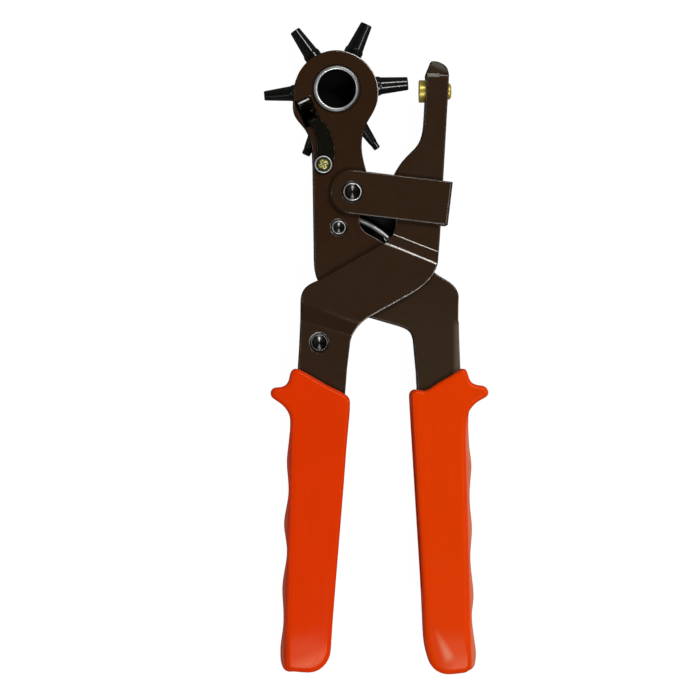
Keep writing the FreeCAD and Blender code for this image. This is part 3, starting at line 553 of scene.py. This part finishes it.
# the last number is each rivet's rim brightness, a painted highlight
for n, rim, bright in (("strap_rivet", 0.0035, 215), ("link_rivet_upper", 0.00266, 200),
                       ("link_rivet_lower", 0.00325, 110)):
    wear(n, rivet_head(n, rim, bright))
for n in ("strap_rivet_spacer", "spring_bush", "link_spacer_front", "link_spacer_rear",
          "link_spring_pin", "wheel_washer_front", "wheel_washer_rear"):
    wear(n, turned("steel_" + n, n, srgb(226, 226, 222), 0.3, aniso=0.3, metal=0.6))


def cup_washer():
    """Small pressed washer: a bright rolled rim round a dish painted dark as shade round the screw
    head.
    """
    m = Mat("steel_index_screw_washer")
    r, z, sepn = m.around(centre("index_screw_washer"))
    dish_shade = m.maprange(r, 0.00280, 0.00298, 1.0, 0.0, smooth=True)
    col = m.mix(m.noise(900, 3), srgb(236, 236, 232), srgb(170, 168, 162))
    # painted shade in the dish round the screw head
    col = m.mix(m.math("MULTIPLY", dish_shade, 0.93), col, srgb(22, 20, 12))
    nrm = m.bump(m.noise(1500, 2), 0.15, 0.00003, m.soft_edges(0.00025))
    m.surface(col, 0.3, metallic=0.5, normal=nrm)
    return m


wear("index_screw_washer", cup_washer())


def axle_ring():
    m = Mat("zinc_ring")
    r, z, sepn = m.around(centre("wheel_axle"))
    inside = m.maprange(r, 0.00742, 0.00748, 1.0, 0.0)
    tang = m.n("ShaderNodeTangent", direction_type="RADIAL", axis="Z").outputs[0]
    col = m.mix(m.noise(700, 3), srgb(232, 234, 232), srgb(190, 193, 190))
    # painted shade on the outer lip, strongest towards the lower right
    facing = m.math("ADD", m.math("MULTIPLY", sepn.outputs[0], math.cos(math.radians(-25.0))),
                    m.math("MULTIPLY", sepn.outputs[1], math.sin(math.radians(-25.0))))
    shade = m.maprange(m.math("DIVIDE", facing, r), 0.1, 0.9, 0.55, 0.95, smooth=True)
    outer_lip_shade = m.math("MULTIPLY", m.maprange(r, 0.0079, 0.0083, 0.0, 1.0, smooth=True), shade)
    col = m.mix(outer_lip_shade, col, srgb(52, 52, 50))
    col = m.mix(inside, col, (0.0006, 0.0006, 0.0007, 1))
    metal = m.maprange(inside, 0.0, 1.0, 0.7, 0.0)
    rough = m.maprange(inside, 0.0, 1.0, 0.3, 0.85)
    nrm = m.bump(m.noise(1400, 3), 0.25, 0.00004, m.soft_edges(0.00015))
    m.surface(col, rough, metallic=metal, normal=nrm, aniso=0.4, tangent=tang, spec=0.2)
    return m


wear("wheel_axle", axle_ring())


def brass(name, base, metal=1.0):
    m = Mat(name)
    col = m.mix(m.noise(300, 4, 0.6), base, srgb(140, 122, 58))
    nrm = m.bump(m.noise(1600, 3), 0.3, 0.00004, m.soft_edges(0.00012))
    m.surface(col, m.maprange(m.noise(500, 3), 0.3, 0.7, 0.28, 0.42), metallic=metal, normal=nrm)
    return m


wear("anvil", brass("brass_anvil", srgb(238, 218, 100), 0.45))


def cross_screw():
    m = Mat("brass_screw")
    r, z, sepn = m.around(centre("index_screw"))
    a = math.radians(28.0)
    u = m.math("ADD", m.math("MULTIPLY", sepn.outputs[0], math.cos(a)),
               m.math("MULTIPLY", sepn.outputs[1], math.sin(a)))
    v = m.math("SUBTRACT", m.math("MULTIPLY", sepn.outputs[1], math.cos(a)),
               m.math("MULTIPLY", sepn.outputs[0], math.sin(a)))
    near = m.math("MINIMUM", m.math("ABSOLUTE", u), m.math("ABSOLUTE", v))
    inner = m.maprange(r, 0.00125, 0.0015, 1.0, 0.0)
    lip_glint = m.math("MULTIPLY", m.math("MULTIPLY", m.maprange(near, 0.00016, 0.00026, 0.0, 1.0),
                                     m.maprange(near, 0.00036, 0.0005, 1.0, 0.0)), inner)
    slot_shade = m.math("MULTIPLY", m.maprange(near, 0.00012, 0.00022, 1.0, 0.0), inner)
    col = m.mix(m.noise(900, 4, 0.6), srgb(214, 206, 92), srgb(150, 146, 56))
    # painted shade in the cross recess
    col = m.mix(m.math("MULTIPLY", slot_shade, 0.85), col, srgb(36, 36, 12))
    # painted highlight on the lips of the recess
    col = m.mix(m.math("MULTIPLY", lip_glint, 0.9), col, srgb(250, 250, 214))
    # outside the cross and a faint band near the rim the brass is painted dark, a painted dark
    # reflection
    lit_cross = m.math("MULTIPLY", m.maprange(near, 0.00062, 0.00088, 1.0, 0.0),
                  m.maprange(r, 0.0017, 0.0020, 1.0, 0.0))
    lit_cross = m.math("MAXIMUM", lit_cross, m.math("MULTIPLY", m.maprange(r, 0.00195, 0.0021, 0.0, 0.35),
                                          m.maprange(r, 0.0023, 0.00245, 1.0, 0.0)))
    col = m.mix(lit_cross, srgb(46, 44, 16), col)
    nrm = m.bump(m.noise(1600, 3), 0.3, 0.00004, m.soft_edges(0.00012))
    m.surface(col, m.maprange(m.noise(500, 3), 0.3, 0.7, 0.28, 0.42), metallic=0.3, normal=nrm)
    return m


wear("index_screw", cross_screw())


def bright_wire():
    m = Mat("spring_wire")
    nrm = m.bump(m.noise(1600, 2), 0.1, 0.00003)
    m.surface(m.mix(m.noise(500, 2), srgb(188, 188, 186), srgb(150, 150, 148)), 0.3,
              metallic=0.6, normal=nrm)
    return m




def bent_wire():
    """The return spring as one wire, copied from the CAD spring in its place; the CAD spring is
    hidden.
    """
    src = NODES["return_spring"]
    mesh = src.data.copy()
    mesh.transform(src.matrix_world)
    mesh.materials.clear()
    mesh.materials.append(bright_wire().m)
    o = bpy.data.objects.new("return_spring_wire", mesh)
    bpy.context.collection.objects.link(o)
    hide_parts("return_spring")
    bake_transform(o)


bent_wire()


def orange_plastic(name, base, deep, rib, side, x0, slope, streak=None):
    """Moulded grip plastic. rib is a painted reflection given to the upper face of the low rib on the
    outer side, which lies beyond the line x0 + slope * y and close to the mid-plane. streak is two
    points in plan with a faint painted highlight streak between them."""
    m = Mat(name)
    sepn = m.n("ShaderNodeSeparateXYZ")
    m.link(m.coord, sepn.inputs[0])
    col = m.mix(m.noise(40, 3, 0.5), base, deep)
    col = m.mix(m.maprange(m.noise(1.0, 3, 0.6, m.scaled(220, 45, 200)), 0.42, 0.75, 0.0, 0.35), col,
                (base[0] * 0.86, base[1] * 0.9, 0.0, 1))
    low = m.math("LESS_THAN", m.math("ABSOLUTE", m.math("SUBTRACT", sepn.outputs[2], MID_Z)), 0.0066)
    beyond = m.math("MULTIPLY", m.math("SUBTRACT", sepn.outputs[0],
                    m.math("ADD", m.math("MULTIPLY", sepn.outputs[1], slope), x0)), side)
    rib_sheen_mask = m.math("MULTIPLY", low, m.maprange(beyond, 0.0, 0.0007, 0.0, 1.0, smooth=True))
    nor = m.n("ShaderNodeSeparateXYZ")
    m.link(m.n("ShaderNodeNewGeometry").outputs["Normal"], nor.inputs[0])
    level = m.math("ABSOLUTE", nor.outputs[2])
    rib_sheen_mask = m.math("MULTIPLY", rib_sheen_mask, m.maprange(level, 0.08, 0.35, 0.0, 1.0))
    below = m.maprange(sepn.outputs[1], -0.026, -0.034, 0.0, 1.0)
    # painted reflection on the upper face of the rib
    col = m.mix(m.math("MULTIPLY", rib_sheen_mask, below), col, rib)
    if streak:
        (xa, ya), (xb, yb) = streak
        run = math.hypot(xb - xa, yb - ya)
        ux, uy = (xb - xa) / run, (yb - ya) / run
        px = m.math("SUBTRACT", sepn.outputs[0], xa)
        py = m.math("SUBTRACT", sepn.outputs[1], ya)
        along = m.math("ADD", m.math("MULTIPLY", px, ux), m.math("MULTIPLY", py, uy))
        across = m.math("ABSOLUTE", m.math("SUBTRACT", m.math("MULTIPLY", px, -uy),
                                           m.math("MULTIPLY", py, -ux)))
        wide = m.math("DIVIDE", across, m.maprange(along, 0.0, run, 0.0010, 0.0032))
        s1 = m.maprange(wide, 0.0, 1.0, 1.0, 0.0, smooth=True)
        s1 = m.math("MULTIPLY", s1, m.maprange(along, -0.001, run * 0.85, 0.0, 1.0, smooth=True))
        s1 = m.math("MULTIPLY", s1, m.maprange(along, run + 0.0014, run - 0.0020, 0.0, 1.0,
                                               smooth=True))
        s1 = m.math("MULTIPLY", s1, m.maprange(level, 0.7, 0.85))
        s1 = m.math("MULTIPLY", s1, m.maprange(m.noise(900, 3), 0.3, 0.6, 0.7, 1.0))
        # painted highlight: a pale streak near the grip's free end
        col = m.mix(m.math("MULTIPLY", s1, 0.5), col, srgb(244, 178, 140))
    h = m.math("ADD", m.noise(2200, 2, 0.5), m.math("MULTIPLY", m.noise(420, 2), 0.5))
    nrm = m.bump(h, 0.06, 0.00004)
    rough = m.maprange(m.noise(160, 3), 0.3, 0.7, 0.22, 0.26)
    b = m.surface(col, rough, normal=nrm, spec=0.15)
    b.inputs["Specular Tint"].default_value = (1.0, 0.72, 0.45, 1.0)
    return m


ORANGE_L = orange_plastic("orange_left", (0.83, 0.042, 0.0, 1), (0.80, 0.037, 0.0, 1),
                          srgb(190, 92, 70), -1.0, -0.0322, 0.0236)
ORANGE_R = orange_plastic("orange_right", (0.85, 0.052, 0.0, 1), (0.82, 0.046, 0.0, 1),
                          srgb(214, 116, 84), 1.0, 0.0330, -0.0262,
                          streak=((0.0223, -0.1074), (0.0281, -0.1197)))


def moulded_grip(node, piece, body, mat, inner):
    """The grip as one moulded skin: the frame's shape with softened edges and a face that is
    crowned towards the free end and its inner corner. inner is two points on the inner side's
    line in plan, in millimetres."""
    src = NODES[node]
    mesh = src.data.copy()
    mesh.transform(src.matrix_world)
    mesh.materials.clear()
    bmm = bmesh.new()
    bmm.from_mesh(mesh)
    bmesh.ops.remove_doubles(bmm, verts=bmm.verts, dist=1e-6)
    bmm.to_mesh(mesh)
    bmm.free()
    tmp = bpy.data.objects.new(piece + "_tmp", mesh)
    bpy.context.collection.objects.link(tmp)
    rm = tmp.modifiers.new("skin", "REMESH")
    rm.mode = "VOXEL"
    rm.voxel_size = 0.00046
    sm = tmp.modifiers.new("smooth", "SMOOTH")
    sm.factor = 0.5
    sm.iterations = 2
    deps = bpy.context.evaluated_depsgraph_get()
    out = bpy.data.meshes.new_from_object(tmp.evaluated_get(deps))
    bpy.data.objects.remove(tmp)
    v = np.empty(len(out.vertices) * 3)
    out.vertices.foreach_get("co", v)
    v = v.reshape(-1, 3)
    p = v[:, :2] * 1000.0 - np.array([0.34, -0.06])
    (xa, ya), (xb, yb) = inner
    x_in = xa + (xb - xa) * (p[:, 1] - ya) / (yb - ya)
    dx = np.clip(1 - np.abs(p[:, 0] - x_in) / 13.0, 0, 1)
    dy = np.clip(1 - (p[:, 1] + 124.5) / 20.0, 0, 1)
    w = np.clip((-82.0 - p[:, 1]) / 42.0, 0, 1)
    w = w * w * (3 - 2 * w)
    drop = 2.3 * dy ** 2.2 + 1.1 * w * dx ** 2
    h = (v[:, 2] - MID_Z) * 1000.0
    k = np.clip((np.abs(h) - 3.0) / 7.4, 0, 1)
    v[:, 2] = MID_Z + np.sign(h) * (np.abs(h) - drop * k) / 1000.0
    out.vertices.foreach_set("co", v.reshape(-1))
    out.polygons.foreach_set("use_smooth", [True] * len(out.polygons))
    out.update()
    out.materials.clear()
    out.materials.append(mat.m)
    o = bpy.data.objects.new(piece, out)
    bpy.context.collection.objects.link(o)
    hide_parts(node)
    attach(o, body)
    return o


moulded_grip("left_grip", "left_grip_skin", "anvil_lever_body", ORANGE_L,
             ((-15.91, -88.61), (-18.0, -118.0)))
moulded_grip("right_grip", "right_grip_skin", "punch_lever_body", ORANGE_R,
             ((16.97, -88.65), (18.9, -118.0)))
